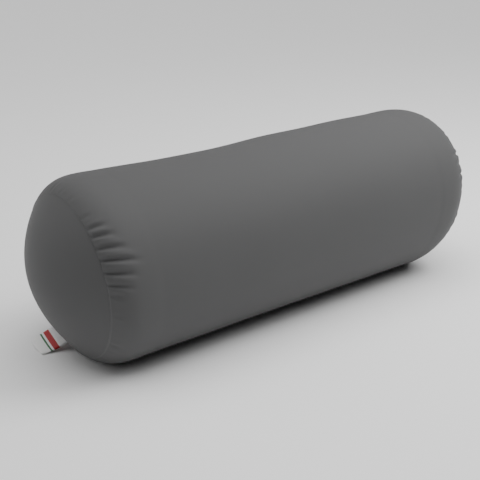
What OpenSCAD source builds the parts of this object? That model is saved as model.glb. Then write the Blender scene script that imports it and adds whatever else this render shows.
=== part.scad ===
// Bolster pillow: a soft roll with a zipped cover over a sewn and filled insert.
//
// Millimetres. The roll lies along X and rests on the plane Z = 0, with the origin at the
// middle of the patch that it rests on. The label is sewn into the left end seam, on -X.
// The zipper runs along the back, on +Y. Layers nest from the outside in: cover, zipper
// tapes, insert case, filling. Each layer is a solid of revolution that is pressed flat
// underneath, and a shell is one such solid less a smaller one.

/* [Roll] */
// Diameter of the filled roll
roll_d = 178; // [150:1:230]
// Distance between the two end seams
seam_span = 444; // [420:1:600]
// How far the end seams lie inside the roll's surface
shoulder_drop = 12; // [9:0.5:16]
// Length over which each end rounds in to its seam
shoulder_len = 27; // [18:1:36]
// How far each end panel bulges past its seam
dome_h = 34; // [24:1:42]
// Depth by which the roll is pressed flat where it rests
flat_depth = 6; // [3:0.5:10]

/* [Cover] */
// Thickness of the knit cover
cover_t = 0.8; // [0.6:0.1:1]
// Width of cloth turned inward along each end seam
seam_allowance = 6; // [4:0.5:6.5]
// Diameter of the sewing thread
thread_d = 0.4; // [0.3:0.05:0.5]
// Length of one stitch with its gap
stitch_pitch = 3.5; // [2.5:0.1:5]

/* [Zipper] */
// Length of the closed zipper chain
chain_len = 320; // [240:1:340]
// Angle of the zipper above the level of the roll's axis
zip_raise = 10; // [0:1:30]
// Width of the slot in the cover
slot_w = 11.6; // [11.2:0.1:14]
// Width of the chain
chain_w = 6; // [5:0.1:6]
// Width of each tape
tape_w = 15; // [12:0.5:18]
// Length of the pull tab past its pivot
tab_len = 22; // [16:0.5:30]

/* [Label] */
// Width of the folded label along the seam
label_w = 24; // [15:1:30]
// Length of the label past the seam
label_len = 26; // [15:1:30]
// Place of the label round the seam, from the bottom towards the back
label_at = 24; // [15:1:60]
// Angle by which the label droops
label_droop = 16; // [0:1:18]

/* [Insert] */
// Thickness of the insert's case
case_t = 0.5; // [0.3:0.1:0.7]
// Length of the hand-closed opening in the case
closing_len = 150; // [80:5:200]

/* [Hidden] */

$fn = 96;
eps = 0.01;
steps = 10;             // points along a shoulder or a dome
shoulder_power = 1.56;  // 2 is a quarter of an ellipse, less is flatter across the corner
air = 0.3;              // clearance between pieces that only lie close

// Cover
roll_r = roll_d / 2;
seam_x = seam_span / 2;
seam_r = roll_r - shoulder_drop;
rest_h = roll_r - flat_depth;    // height of the roll's axis above the floor
dome_taper = 2.75;               // an inner dome starts this many thicknesses inside
thread_r = thread_d / 2;
thread_inset = seam_allowance / 2;

// Zipper, as radii from the roll's axis
hem_w = 9;
hem_r = roll_r - 2 * cover_t;
tape_t = 0.6;
tape_r = hem_r - 0.1;
tape_in_r = tape_r - tape_t;
coil_h = 2;
coil_gap = 1.2;                  // between the two coils, where the slider's divider runs
coil_top = tape_r + coil_h;
slot_len = chain_len + 16;
tape_len = slot_len + 14;
stitch_out = 3.2;                // topstitching from the slot's edge

// Slider
slider_len = 14;
slider_x = -chain_len / 2 + slider_len / 2 + 1;
plate_t = 1.2;
top_plate = coil_top + 0.4;
bottom_plate = tape_in_r - 0.5 - plate_t;
nose_w = 10;
tail_w = 7.4;
bail_x = 0.6;                    // middle of the bail, and the tab's pivot
bail_w = 2;
bail_h = 3.3;
bail_bar = 1.2;
pivot_r = 0.65;
pivot_h = top_plate + plate_t + bail_h - bail_bar - pivot_r - 0.2;
stop_len = 2;
stop_w = 3;

// Label
label_ply = 0.35;
label_gap = 0.4;

// Insert
insert_r = tape_in_r - air;
insert_seam_r = seam_r - 3;
insert_drop = insert_r - insert_seam_r;
insert_x = seam_x - 4;
insert_shoulder = shoulder_len - 3;
insert_dome = dome_h + 2;
insert_rest = rest_h - cover_t;
insert_allowance = 5;
relief_w = 12;                   // channel in the insert behind the slider
relief_floor = bottom_plate - 0.5;
relief_len = slot_len - 4;

// ---- outlines: points are [radius, place along the axis] ----

// The rounded shoulder, from the roll's full radius in to the seam
function shoulder(x, r, drop, len) = [for (i = [0:steps])
    let (a = 90 * i / steps, along = pow(sin(a), 2 / shoulder_power),
         down = pow(cos(a), 2 / shoulder_power))
    [r - drop + drop * down, x - len + len * along]];

// The domed end, from its rim in to the axis
function dome(x, r, h) = [for (i = [0:steps])
    let (k = 1 - i / steps) [r * k, x + h * (1 - k * k)]];

// The same points on the left side, in the other order
function mirrored(pts) = [for (i = [len(pts) - 1:-1:0]) [pts[i][0], -pts[i][1]]];

module revolve() rotate([0, 90, 0]) rotate_extrude() children();

// Everything above the plane that the layer is pressed against, h below the axis
module pressed_flat(h) {
    size = 2 * (seam_x + dome_h + roll_r);
    intersection() {
        children();
        translate([-size / 2, -size / 2, -h]) cube([size, size, size]);
    }
}

// Solid roll between the planes of its two seams
module roll_body(x, r, drop, len) {
    pts = shoulder(x, r, drop, len);
    revolve() polygon(concat([[0, -x]], mirrored(pts), pts, [[0, x]]));
}

// Solid dome on the right-hand seam
module dome_body(x, r, h)
    revolve() polygon(concat([[0, x]], dome(x, r, h)));

module axis_rod(r, x0, x1) translate([x0, 0, 0]) rotate([0, 90, 0]) cylinder(r = r, h = x1 - x0);

// Panel shell: a dome with a flat rim that lies against the tube's seam allowance
module end_shell(x, r, h, t, allowance) difference() {
    dome_body(x, r, h);
    dome_body(x + t, r - dome_taper * t, h - 2 * t);
    axis_rod(r - allowance, x - 1, x + t + eps);
}

// Needle and bobbin thread on the two faces of a seam's allowances
module seam_rings(x, r, t) for (side = [-1, 1])
    revolve() translate([r, x + side * (t + thread_r)]) circle(thread_r, $fn = 16);

module on_axis() translate([0, 0, rest_h]) children();

module left() mirror([1, 0, 0]) children();

// Moves a zipper piece from the top of the roll to its place on the back
module at_zip() on_axis() rotate([zip_raise - 90, 0, 0]) children();

// Band of a cylinder wall over the top of the roll, from y0 to y1
module top_band(r_out, r_in, y0, y1, len) intersection() {
    difference() {
        axis_rod(r_out, -len / 2, len / 2);
        axis_rod(r_in, -len / 2 - 1, len / 2 + 1);
    }
    translate([-len / 2 - 1, y0, 0]) cube([len + 2, y1 - y0, r_out + 1]);
}

module block(x0, x1, y0, y1, z0, z1) translate([x0, y0, z0]) cube([x1 - x0, y1 - y0, z1 - z0]);

// ---- cover ----

module cover_slot() rotate([zip_raise - 90, 0, 0])
    block(-slot_len / 2, slot_len / 2, -slot_w / 2, slot_w / 2, hem_r - 4, roll_r + 2);

module cover_hems() rotate([zip_raise - 90, 0, 0]) {
    top_band(roll_r - cover_t, hem_r, slot_w / 2, slot_w / 2 + hem_w, slot_len);
    top_band(roll_r - cover_t, hem_r, -slot_w / 2 - hem_w, -slot_w / 2, slot_len);
}

module cover_tube() color([0.42, 0.42, 0.42]) on_axis() {
    difference() {
        pressed_flat(rest_h) roll_body(seam_x, roll_r, shoulder_drop, shoulder_len);
        pressed_flat(rest_h - cover_t)
            roll_body(seam_x - cover_t, roll_r - cover_t, shoulder_drop, shoulder_len);
        axis_rod(seam_r - seam_allowance, -seam_x - 1, seam_x + 1);
        cover_slot();
    }
    cover_hems();
}

module end_panel() color([0.4, 0.4, 0.4]) on_axis()
    end_shell(seam_x, seam_r, dome_h, cover_t, seam_allowance);

module right_end_panel() end_panel();

module left_end_panel() left() end_panel();

module seam_thread() color([0.3, 0.3, 0.3]) on_axis()
    seam_rings(seam_x, seam_r - thread_inset, cover_t);

module right_seam_thread() seam_thread();

module left_seam_thread() left() seam_thread();

// ---- zipper ----

// The lower half of the zipper, or the upper one, which is its mirror image
module zip_half(upper) at_zip() if (upper) mirror([0, 1, 0]) children(); else children();

module zip_tape(upper) color([0.28, 0.28, 0.28]) zip_half(upper)
    top_band(tape_r, tape_in_r, coil_gap / 2 + 0.1, coil_gap / 2 + tape_w, tape_len);

module zip_tape_upper() zip_tape(true);

module zip_tape_lower() zip_tape(false);

module zip_coil(upper) color([0.22, 0.22, 0.22]) zip_half(upper)
    block(-chain_len / 2, chain_len / 2, coil_gap / 2, chain_w / 2, tape_r, coil_top);

module zip_coil_upper() zip_coil(true);

module zip_coil_lower() zip_coil(false);

// A metal clip that straddles the tape's edge, open on the side away from the chain
module stop_clip(x, web) difference() {
    block(x, x + stop_len, web, stop_w, tape_in_r - 0.9, tape_r + 1.6);
    block(x - 1, x + stop_len + 1, coil_gap / 2 + 0.05, stop_w + 1, tape_in_r - 0.2, tape_r + 0.1);
}

module zip_top_stops() color([0.5, 0.5, 0.5]) at_zip() {
    clip_x = -chain_len / 2 - 0.8 - stop_len;
    stop_clip(clip_x, 0.25);
    mirror([0, 1, 0]) stop_clip(clip_x, 0.25);
}

module zip_bottom_stop() color([0.5, 0.5, 0.5]) at_zip() {
    stop_clip(chain_len / 2 + 1, 0);
    mirror([0, 1, 0]) stop_clip(chain_len / 2 + 1, 0);
}

// One stitch lying on the cover, y across the top of the roll
module stitch(x, y, len, turn) {
    z = sqrt(pow(roll_r + thread_r, 2) - y * y) + 0.02;
    translate([x, y, z]) rotate([turn ? 90 - asin(y / roll_r) : 0, turn ? 0 : 90, 0])
        cylinder(d = thread_d, h = len, center = true, $fn = 16);
}

// Two rows along the slot and one across each of its ends
module zip_topstitching() color([0.34, 0.34, 0.34]) at_zip() {
    row_y = slot_w / 2 + stitch_out;
    row_x = slot_len / 2 + stitch_out;
    along = floor(2 * row_x / stitch_pitch);
    across = floor(2 * row_y / stitch_pitch);
    for (side = [-1, 1]) {
        for (i = [0:along - 1])
            stitch((i - (along - 1) / 2) * 2 * row_x / along, side * row_y,
                   stitch_pitch - 0.8, false);
        for (i = [0:across - 1])
            stitch(side * (row_x + 0.6), (i - (across - 1) / 2) * 2 * row_y / across,
                   stitch_pitch - 1, true);
    }
}

// Outline of a slider plate, wide at the nose on -X
module plate_outline() hull() for (side = [-1, 1]) {
    translate([-slider_len / 2 + 2.4, side * (nose_w / 2 - 2.4)]) circle(2.4, $fn = 32);
    translate([slider_len / 2 - 1.6, side * (tail_w / 2 - 1.6)]) circle(1.6, $fn = 32);
}

// Side wall of the slider beside the chain
module slider_flange() {
    wall_in = chain_w / 2 + 0.25;
    flange_z = tape_r + 0.5;
    translate([0, 0, flange_z]) linear_extrude(top_plate - flange_z + eps)
        polygon([[-5.8, wall_in + 0.5], [-5.8, nose_w / 2 - 0.3], [6.4, tail_w / 2 - 0.05],
                 [6.4, wall_in], [1, wall_in]]);
}

// Arch on the slider that holds the pull tab, side view, from the top plate up
module bail_outline() difference() {
    polygon([[-3.4, -0.1], [-3, 2.6], [-2.2, bail_h], [2.2, bail_h], [3, 2.6], [3.4, -0.1]]);
    translate([-1.9, -1]) square([3.8, 1 + bail_h - bail_bar]);
}

module zip_slider() color([0.55, 0.55, 0.55]) at_zip() translate([slider_x, 0, 0]) {
    translate([0, 0, top_plate]) linear_extrude(plate_t) plate_outline();
    translate([0, 0, bottom_plate]) linear_extrude(plate_t) plate_outline();
    slider_flange();
    mirror([0, 1, 0]) slider_flange();
    // divider between the coils
    block(-6.5, -3, -0.35, 0.35, bottom_plate + eps, top_plate + eps);
    translate([bail_x, bail_w / 2, top_plate + plate_t]) rotate([90, 0, 0])
        linear_extrude(bail_w) bail_outline();
}

// The tab lies back over the chain and turns on a bar inside the bail
module zip_pull_tab() color([0.6, 0.6, 0.6]) at_zip()
translate([slider_x + bail_x, 0, pivot_h]) {
    rotate([90, 0, 0]) cylinder(r = pivot_r, h = 5.6, center = true, $fn = 32);
    difference() {
        translate([0, 0, -pivot_r]) linear_extrude(2 * pivot_r) hull() for (side = [-1, 1]) {
            translate([1.3, side * 2]) circle(1.3, $fn = 32);
            translate([tab_len - 2.2, side * 0.9]) circle(2.2, $fn = 32);
        }
        // window that the bail passes through, and a lighter one for the grip
        block(pivot_r, 3.9, -bail_w / 2 - 0.4, bail_w / 2 + 0.4, -1, 1);
        block(tab_len - 11, tab_len - 4.5, -1.2, 1.2, -1, 1);
    }
}

// ---- label ----

// Side view of the folded label: two plies that part a little and meet in a fold
module label_loop(ply) {
    half = label_ply + label_gap / 2 - ply;
    translate([0, -half]) square([label_len - half, 2 * half]);
    translate([label_len - 2 * label_ply, 0]) circle(half, $fn = 32);
}

module brand_label() color([0.93, 0.93, 0.92]) on_axis()
rotate([label_at, 0, 0]) translate([-seam_x, 0, -seam_r - 0.8])
rotate([0, -label_droop, 0]) mirror([1, 0, 0])
rotate([90, 0, 0]) linear_extrude(label_w, center = true) difference() {
    label_loop(0);
    translate([-eps, 0]) label_loop(label_ply);
}

// ---- insert ----

// Channel that the back of the slider and the chain stops press into the insert
module relief(t) rotate([zip_raise - 90, 0, 0])
    block(-relief_len / 2 - t, relief_len / 2 + t, -relief_w / 2 - t, relief_w / 2 + t,
          relief_floor - t, roll_r + 2);

module insert_tube() color([0.9, 0.9, 0.88]) on_axis() difference() {
    pressed_flat(insert_rest) roll_body(insert_x, insert_r, insert_drop, insert_shoulder);
    relief(0);
    difference() {
        pressed_flat(insert_rest - case_t)
            roll_body(insert_x - case_t, insert_r - case_t, insert_drop, insert_shoulder);
        relief(case_t);
    }
    axis_rod(insert_seam_r - insert_allowance, -insert_x - 1, insert_x + 1);
}

module insert_end() color([0.88, 0.88, 0.86]) on_axis()
    end_shell(insert_x, insert_seam_r, insert_dome, case_t, insert_allowance);

module insert_right_end() insert_end();

module insert_left_end() left() insert_end();

module insert_thread() color([0.85, 0.85, 0.85]) on_axis()
    seam_rings(insert_x, insert_seam_r - insert_allowance / 2, case_t);

module insert_right_thread() insert_thread();

module insert_left_thread() left() insert_thread();

// Whip stitches over the edge where the case was filled, on the front of the insert
module insert_closing_stitches() color([0.85, 0.85, 0.85]) on_axis() rotate([90, 0, 0])
    for (x = [-closing_len / 2:5:closing_len / 2])
        translate([x, 0, insert_r + thread_r + 0.04]) rotate([90, 0, 25])
            cylinder(d = thread_d, h = 4, center = true, $fn = 16);

// The filling, with room round the case's turned-in edges and their thread
module filling() color([0.96, 0.96, 0.96]) on_axis() difference() {
    room = thread_d + 0.1;
    x = insert_x - case_t - room;
    rim = insert_seam_r - insert_allowance - air;
    dome_x = insert_x + case_t + room;
    dome_r = insert_seam_r - dome_taper * (case_t + room);
    edge = concat(shoulder(x, insert_r - case_t, insert_drop, insert_shoulder),
                  [[rim, x], [rim, dome_x]], dome(dome_x, dome_r, insert_dome - 2 * case_t - room));
    pressed_flat(insert_rest - case_t) revolve() polygon(concat(mirrored(edge), edge));
    relief(case_t);
}

cover_tube();
left_end_panel();
right_end_panel();
left_seam_thread();
right_seam_thread();
zip_tape_upper();
zip_tape_lower();
zip_coil_upper();
zip_coil_lower();
zip_top_stops();
zip_bottom_stop();
zip_topstitching();
zip_slider();
zip_pull_tab();
brand_label();
insert_tube();
insert_left_end();
insert_right_end();
insert_left_thread();
insert_right_thread();
insert_closing_stitches();
filling();
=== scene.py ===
import math

import bmesh
import bpy
import numpy as np
from mathutils import Matrix, Vector, noise


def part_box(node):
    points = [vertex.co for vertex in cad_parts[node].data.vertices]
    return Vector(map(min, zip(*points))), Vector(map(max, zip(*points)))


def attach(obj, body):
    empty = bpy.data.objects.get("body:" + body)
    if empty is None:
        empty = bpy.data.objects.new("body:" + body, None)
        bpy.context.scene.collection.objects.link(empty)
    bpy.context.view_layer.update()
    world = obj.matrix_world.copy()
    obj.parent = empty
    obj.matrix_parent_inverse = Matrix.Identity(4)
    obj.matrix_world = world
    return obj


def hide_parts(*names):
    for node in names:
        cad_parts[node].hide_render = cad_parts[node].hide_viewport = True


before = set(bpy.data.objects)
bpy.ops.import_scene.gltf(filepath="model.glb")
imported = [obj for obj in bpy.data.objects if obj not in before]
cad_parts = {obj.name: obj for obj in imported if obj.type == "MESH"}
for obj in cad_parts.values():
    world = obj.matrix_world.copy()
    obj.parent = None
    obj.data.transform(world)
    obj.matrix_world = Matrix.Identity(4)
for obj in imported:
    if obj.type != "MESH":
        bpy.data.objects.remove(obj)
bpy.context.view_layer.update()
print("frame loaded:", len(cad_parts), "nodes")

mm = 0.001
tubeLow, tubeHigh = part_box("cover_tube")
panelLow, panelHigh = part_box("right_end_panel")
caseLow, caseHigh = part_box("insert_tube")
caseEndLow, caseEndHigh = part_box("insert_right_end")

# One dictionary for each layer of the roll. Its outer sizes come from the frame.
cover = {
    "radius": (tubeHigh.y - tubeLow.y) / 2,
    "seamX": tubeHigh.x,
    "seamRadius": (panelHigh.y - panelLow.y) / 2,
    "domeHeight": panelHigh.x - panelLow.x,
    "shoulder": 27 * mm,
    "thickness": 0.8 * mm,
    "allowance": 6 * mm,
}
axisHeight = tubeHigh.z - cover["radius"]
case = {
    "radius": (caseHigh.y - caseLow.y) / 2,
    "seamX": caseHigh.x,
    "seamRadius": (caseEndHigh.y - caseEndLow.y) / 2,
    "domeHeight": caseEndHigh.x - caseEndLow.x,
    "shoulder": 24 * mm,
    "thickness": 0.5 * mm,
    "allowance": 5 * mm,
}
caseRest = axisHeight - cover["thickness"]
fillRest = caseRest - case["thickness"]

# How the filled roll stands: each end leans, the underside is pressed flat, the middle is slack.
settling = {
    "shoulderHandles": (12.5 * mm, 8.0 * mm),  # at the roll's full radius, and at the seam
    "shoulderEnd": 48.8,  # degrees between the roll's axis and its surface, at the seam
    "closeRow": 0.988,  # how far along the shoulder its last row before the seam is
    "leanReach": 1.2 * cover["radius"],
    "leftLean": (-0.061, 0.042),  # shift along X for each metre up, and for each metre back
    "rightLean": (0.172, -0.065),
    "pressRounding": 1.2 * mm,
    "slackDepth": 0.3 * mm,
    "slackTurns": (2, 3, 4, 3, 5),  # how many waves go round the roll, in each set of them
    "slackLength": (0.09, 0.24),  # shortest and longest wave along the roll, in metres
    "waist": 0.5 * mm,
    "dent": {"x": -70 * mm, "angle": 335.0, "depth": 3.0 * mm, "reach": 80 * mm, "spread": 42.0},
    "zipAngle": 280.0,  # degrees round the roll: 0 is the top, 90 the front, 270 the back
    "zipGuard": (10.0, 26.0),  # no slack this near to the zipper, and all of it from here on
    "seed": 11,
}


def smoothStep(t):
    t = np.clip(t, 0, 1)
    return t * t * (3 - 2 * t)


def apart(angle, other):
    # signed difference between two angles in radians, from -pi to pi
    return (angle - other + np.pi) % (2 * np.pi) - np.pi


def leanShift(p):
    # the ends lean as wholes, more and more towards the tips
    def share(reach):
        f = np.clip(reach / settling["leanReach"], 0, 1.3)
        return f * f * (3 - 2 * np.clip(f, 0, 1))

    start = cover["seamX"] - settling["leanReach"]
    left, right = share(-p[..., 0] - start), share(p[..., 0] - start)
    upLeft, backLeft = settling["leftLean"]
    upRight, backRight = settling["rightLean"]
    return (left * (upLeft * p[..., 2] + backLeft * p[..., 1])
            + right * (upRight * p[..., 2] + backRight * p[..., 1]))


def slack(x, angle):
    # how far the surface stands out: long shallow waves and one broad dent, none near the zipper
    rng = np.random.default_rng(settling["seed"])
    waves = np.zeros(np.broadcast(x, angle).shape)
    for around in settling["slackTurns"]:
        length = rng.uniform(*settling["slackLength"])
        turn, start = rng.uniform(0, 2 * np.pi, 2)
        waves = waves + np.sin(2 * np.pi * x / length + start) * np.cos(around * angle + turn) / around
    middle = np.exp(-(x / (0.5 * cover["seamX"])) ** 2)
    dent = settling["dent"]
    away = np.degrees(apart(angle, math.radians(dent["angle"])))
    hollow = dent["depth"] * np.exp(-((x - dent["x"]) / dent["reach"]) ** 2 - (away / dent["spread"]) ** 2)
    offset = settling["slackDepth"] * waves - settling["waist"] * middle - hollow
    fromZip = np.abs(np.degrees(apart(angle, math.radians(settling["zipAngle"]))))
    fade = smoothStep((cover["seamX"] - np.abs(x)) / (40 * mm))
    near, far = settling["zipGuard"]
    return offset * fade * smoothStep((fromZip - near) / (far - near))


def settle(points, restDepth=None):
    # points are measured from the roll's axis; restDepth is how far below it this layer is pressed flat
    p = np.array(points, float)
    radius = np.hypot(p[..., 1], p[..., 2])
    angle = np.arctan2(-p[..., 1], p[..., 2])
    standing = slack(p[..., 0], angle) * np.clip(radius / cover["radius"], 0, 1)
    scale = 1 + standing / np.maximum(radius, 1e-6)
    p[..., 1] *= scale
    p[..., 2] *= scale
    shift = leanShift(p)
    if restDepth is not None:
        k = settling["pressRounding"]
        p[..., 2] = k * np.logaddexp(0, (p[..., 2] + restDepth) / k) - restDepth
    p[..., 0] += shift
    p[..., 2] += axisHeight
    return p


def ring(x, r, angles):
    return np.stack([np.full_like(angles, x), -r * np.sin(angles), r * np.cos(angles)], -1)


def shoulderProfile(layer, steps):
    # (x, radius) along a Bezier curve from the full radius in to the seam, with a last close row
    t = np.append(np.linspace(0, 1, steps)[:-1], [settling["closeRow"], 1])[:, None]
    first, last = settling["shoulderHandles"]
    end = math.radians(settling["shoulderEnd"])
    a = np.array([layer["seamX"] - layer["shoulder"], layer["radius"]])
    d = np.array([layer["seamX"], layer["seamRadius"]])
    b, c = a + [first, 0], d + [-last * math.cos(end), last * math.sin(end)]
    return (1 - t) ** 3 * a + 3 * t * (1 - t) ** 2 * b + 3 * t * t * (1 - t) * c + t ** 3 * d


def gridNormals(grid, wrap):
    alongRows = np.gradient(grid, axis=0)
    if wrap:
        acrossCols = np.roll(grid, -1, 1) - np.roll(grid, 1, 1)
    else:
        acrossCols = np.gradient(grid, axis=1)
    n = np.cross(acrossCols, alongRows)
    return n / np.maximum(np.linalg.norm(n, axis=-1, keepdims=True), 1e-12)


def lengths(line):
    steps = np.linalg.norm(np.diff(line, axis=0), axis=1)
    return np.concatenate([[0], np.cumsum(steps)])


def gridSheet(grid, wrap=False, keep=None):
    # quads over a grid of points, and where each of their corners is on the flat cloth
    rows, cols = grid.shape[:2]
    keep = np.ones((rows - 1, cols if wrap else cols - 1), bool) if keep is None else keep
    middle = grid[rows // 2]
    line = np.concatenate([middle, middle[:1]]) if wrap else middle
    u, v = lengths(grid[:, cols // 3]), lengths(line)
    quads, coords = [], []
    for i, j in np.argwhere(keep).tolist():
        k = (j + 1) % cols
        quads.append((i * cols + j, i * cols + k, (i + 1) * cols + k, (i + 1) * cols + j))
        coords.append(((u[i], v[j]), (u[i], v[j + 1]), (u[i + 1], v[j + 1]), (u[i + 1], v[j])))
    return quads, coords


def shellParts(grid, thickness, wrap=False, keep=None, normals=None):
    # a closed sheet of cloth from its outer face: (points, faces, cloth coordinates of each corner)
    normals = gridNormals(grid, wrap) if normals is None else normals
    points = np.concatenate([grid.reshape(-1, 3), (grid - normals * thickness).reshape(-1, 3)])
    inner = len(points) // 2
    faces, coords, edges = [], [], {}
    for quad, uv in zip(*gridSheet(grid, wrap, keep)):
        faces += [quad, tuple(q + inner for q in quad[::-1])]
        coords += [uv, uv[::-1]]
        for e in range(4):
            a, b = quad[e], quad[(e + 1) % 4]
            if (b, a) in edges:
                del edges[(b, a)]
            else:
                edges[(a, b)] = (uv[e], uv[(e + 1) % 4])
    for (a, b), (ua, ub) in edges.items():
        faces.append((b, a, a + inner, b + inner))
        coords.append((ub, ua, ua, ub))
    return points, faces, coords


def linked(name, data):
    made = bpy.data.objects.new(name, data)
    bpy.context.scene.collection.objects.link(made)
    return made


def meshObject(name, parts, material, weld=0.0):
    # joins (points, faces, coords) lists into one smooth piece, and closes its poles
    points, faces, coords, count = [], [], [], 0
    for p, f, c in parts:
        points.append(p)
        faces += [tuple(q + count for q in face) for face in f]
        coords += c
        count += len(p)
    mesh = bpy.data.meshes.new(name)
    mesh.from_pydata(np.concatenate(points).tolist(), [], faces)
    uv = mesh.uv_layers.new(name="cloth")
    uv.data.foreach_set("uv", np.array([x for face in coords for x in face], np.float32).ravel())
    mesh.polygons.foreach_set("use_smooth", [True] * len(mesh.polygons))
    if weld:
        shape = bmesh.new()
        shape.from_mesh(mesh)
        bmesh.ops.remove_doubles(shape, verts=shape.verts, dist=weld)
        shape.to_mesh(mesh)
        shape.free()
    mesh.validate()
    mesh.update()
    mesh.materials.append(material)
    return linked(name, mesh)


def placed(piece, body, slot, *nodes):
    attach(piece, body)
    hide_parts(*nodes)
    return piece


def addNode(tree, kind, settings=None, inputs=None):
    # a node with its settings, and with each input linked to a socket or set to a value
    node = tree.nodes.new(kind)
    for key, value in (settings or {}).items():
        setattr(node, key, value)
    for key, value in (inputs or {}).items():
        if isinstance(value, bpy.types.NodeSocket):
            tree.links.new(value, node.inputs[key])
        else:
            node.inputs[key].default_value = value
    return node


class Value:
    # a node's output that takes part in Python expressions
    def __init__(self, shade, socket):
        self.shade = shade
        self.socket = socket

    def math(self, operation, *others):
        return self.shade.make("ShaderNodeMath", {"operation": operation}, dict(enumerate([self, *others])))

    def __add__(self, other):
        return self.math("ADD", other)

    def __sub__(self, other):
        return self.math("SUBTRACT", other)

    def __rsub__(self, other):
        return self.math("MULTIPLY", -1.0) + other

    def __mul__(self, other):
        return self.math("MULTIPLY", other)

    def __truediv__(self, other):
        return self.math("DIVIDE", other)

    def __abs__(self):
        return self.math("ABSOLUTE")

    __radd__ = __add__
    __rmul__ = __mul__

    def sin(self):
        return self.math("SINE")

    def fract(self):
        return self.math("FRACT")

    def atLeast(self, other):
        return self.math("MAXIMUM", other)

    def atMost(self, other):
        return self.math("MINIMUM", other)

    def above(self, limit):
        return self.math("GREATER_THAN", limit)


class Shade:
    # one material's node tree
    def __init__(self, name):
        self.material = bpy.data.materials.new(name)
        self.material.use_nodes = True
        self.tree = self.material.node_tree
        self.tree.nodes.clear()
        self.output = self.tree.nodes.new("ShaderNodeOutputMaterial")

    def make(self, kind, settings=None, inputs=None, out=0):
        inputs = {key: value.socket if isinstance(value, Value) else value
                  for key, value in (inputs or {}).items()}
        return Value(self, addNode(self.tree, kind, settings, inputs).outputs[out])

    def noise(self, vector, scale, detail=2.0, roughness=0.5):
        return self.make("ShaderNodeTexNoise", {},
                         {"Vector": vector, "Scale": scale, "Detail": detail, "Roughness": roughness})

    def place(self):
        return self.make("ShaderNodeTexCoord", out="Object")

    def split(self, vector):
        return [self.make("ShaderNodeSeparateXYZ", {}, {0: vector}, axis) for axis in "XYZ"]

    def cloth(self):
        # metres along and across the cloth
        return self.split(self.make("ShaderNodeUVMap", {"uv_map": "cloth"}))[:2]

    def mix(self, factor, a, b):
        return self.make("ShaderNodeMix", {"data_type": "RGBA"}, {"Factor": factor, 6: a, 7: b}, 2)

    def tint(self, colour, amount):
        # a colour made lighter or darker by a value round 1
        grey = self.make("ShaderNodeCombineColor", {}, {"Red": amount, "Green": amount, "Blue": amount})
        return self.make("ShaderNodeMix", {"data_type": "RGBA", "blend_type": "MULTIPLY"},
                         {"Factor": 1.0, 6: colour, 7: grey}, 2)

    def bump(self, height, distance, strength=1.0):
        return self.make("ShaderNodeBump", {},
                         {"Height": height, "Distance": distance, "Strength": strength})

    def finish(self, **sockets):
        inputs = {key.replace("_", " "): value for key, value in sockets.items()}
        shader = self.make("ShaderNodeBsdfPrincipled", {}, inputs, "BSDF")
        self.tree.links.new(shader.socket, self.output.inputs["Surface"])
        return self.material


def wave(value, period):
    # from 0 to 1 and back over each period
    return (value * (2 * math.pi / period)).sin() * 0.5 + 0.5


def threadMaterial(name, colour):
    thread = {"twist": 0.5 * mm, "depth": 0.05 * mm, "shade": 0.25}
    s = Shade(name)
    x, y, z = s.split(s.place())
    twist = wave(x + y * 0.8 + z * 0.8, thread["twist"])
    return s.finish(Base_Color=s.tint(colour, twist * thread["shade"] + 0.85), Roughness=twist * 0.1 + 0.5,
                    Normal=s.bump(twist, thread["depth"], 0.6), Sheen_Weight=0.2)


def socketId(group, name):
    return next(i.identifier for i in group.interface.items_tree if i.name == name and i.in_out == "INPUT")


class Grow:
    # a geometry node tree with named inputs
    def __init__(self, name, inputs):
        self.group = bpy.data.node_groups.new(name, "GeometryNodeTree")
        face = self.group.interface
        face.new_socket("Geometry", in_out="INPUT", socket_type="NodeSocketGeometry")
        for key, value in inputs.items():
            face.new_socket(key, in_out="INPUT", socket_type="NodeSocketFloat").default_value = value
        face.new_socket("Geometry", in_out="OUTPUT", socket_type="NodeSocketGeometry")
        self.start = self.group.nodes.new("NodeGroupInput")
        self.end = self.group.nodes.new("NodeGroupOutput")

    def given(self, name):
        return self.start.outputs[name]

    def make(self, kind, settings=None, inputs=None, out=0):
        return addNode(self.group, kind, settings, inputs).outputs[out]

    def math(self, operation, a, b):
        return self.make("ShaderNodeMath", {"operation": operation}, {0: a, 1: b})

    def close(self, geometry, material):
        real = self.make("GeometryNodeRealizeInstances", {}, {0: geometry})
        smooth = self.make("GeometryNodeSetShadeSmooth", {}, {"Geometry": real})
        painted = self.make("GeometryNodeSetMaterial", {}, {"Geometry": smooth, "Material": material})
        self.group.links.new(painted, self.end.inputs[0])
        return self.group


def plainMesh(name, source):
    # keeps the evaluated shape of an object as a new piece with no modifiers
    graph = bpy.context.evaluated_depsgraph_get()
    mesh = bpy.data.meshes.new_from_object(source.evaluated_get(graph))
    bpy.data.objects.remove(source)
    mesh.name = name
    return linked(name, mesh)


def grown(name, source, group, values):
    # runs a geometry node tree on a source object
    modifier = source.modifiers.new("grow", "NODES")
    modifier.node_group = group
    for key, value in values.items():
        modifier[socketId(group, key)] = value
    return plainMesh(name, source)


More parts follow.
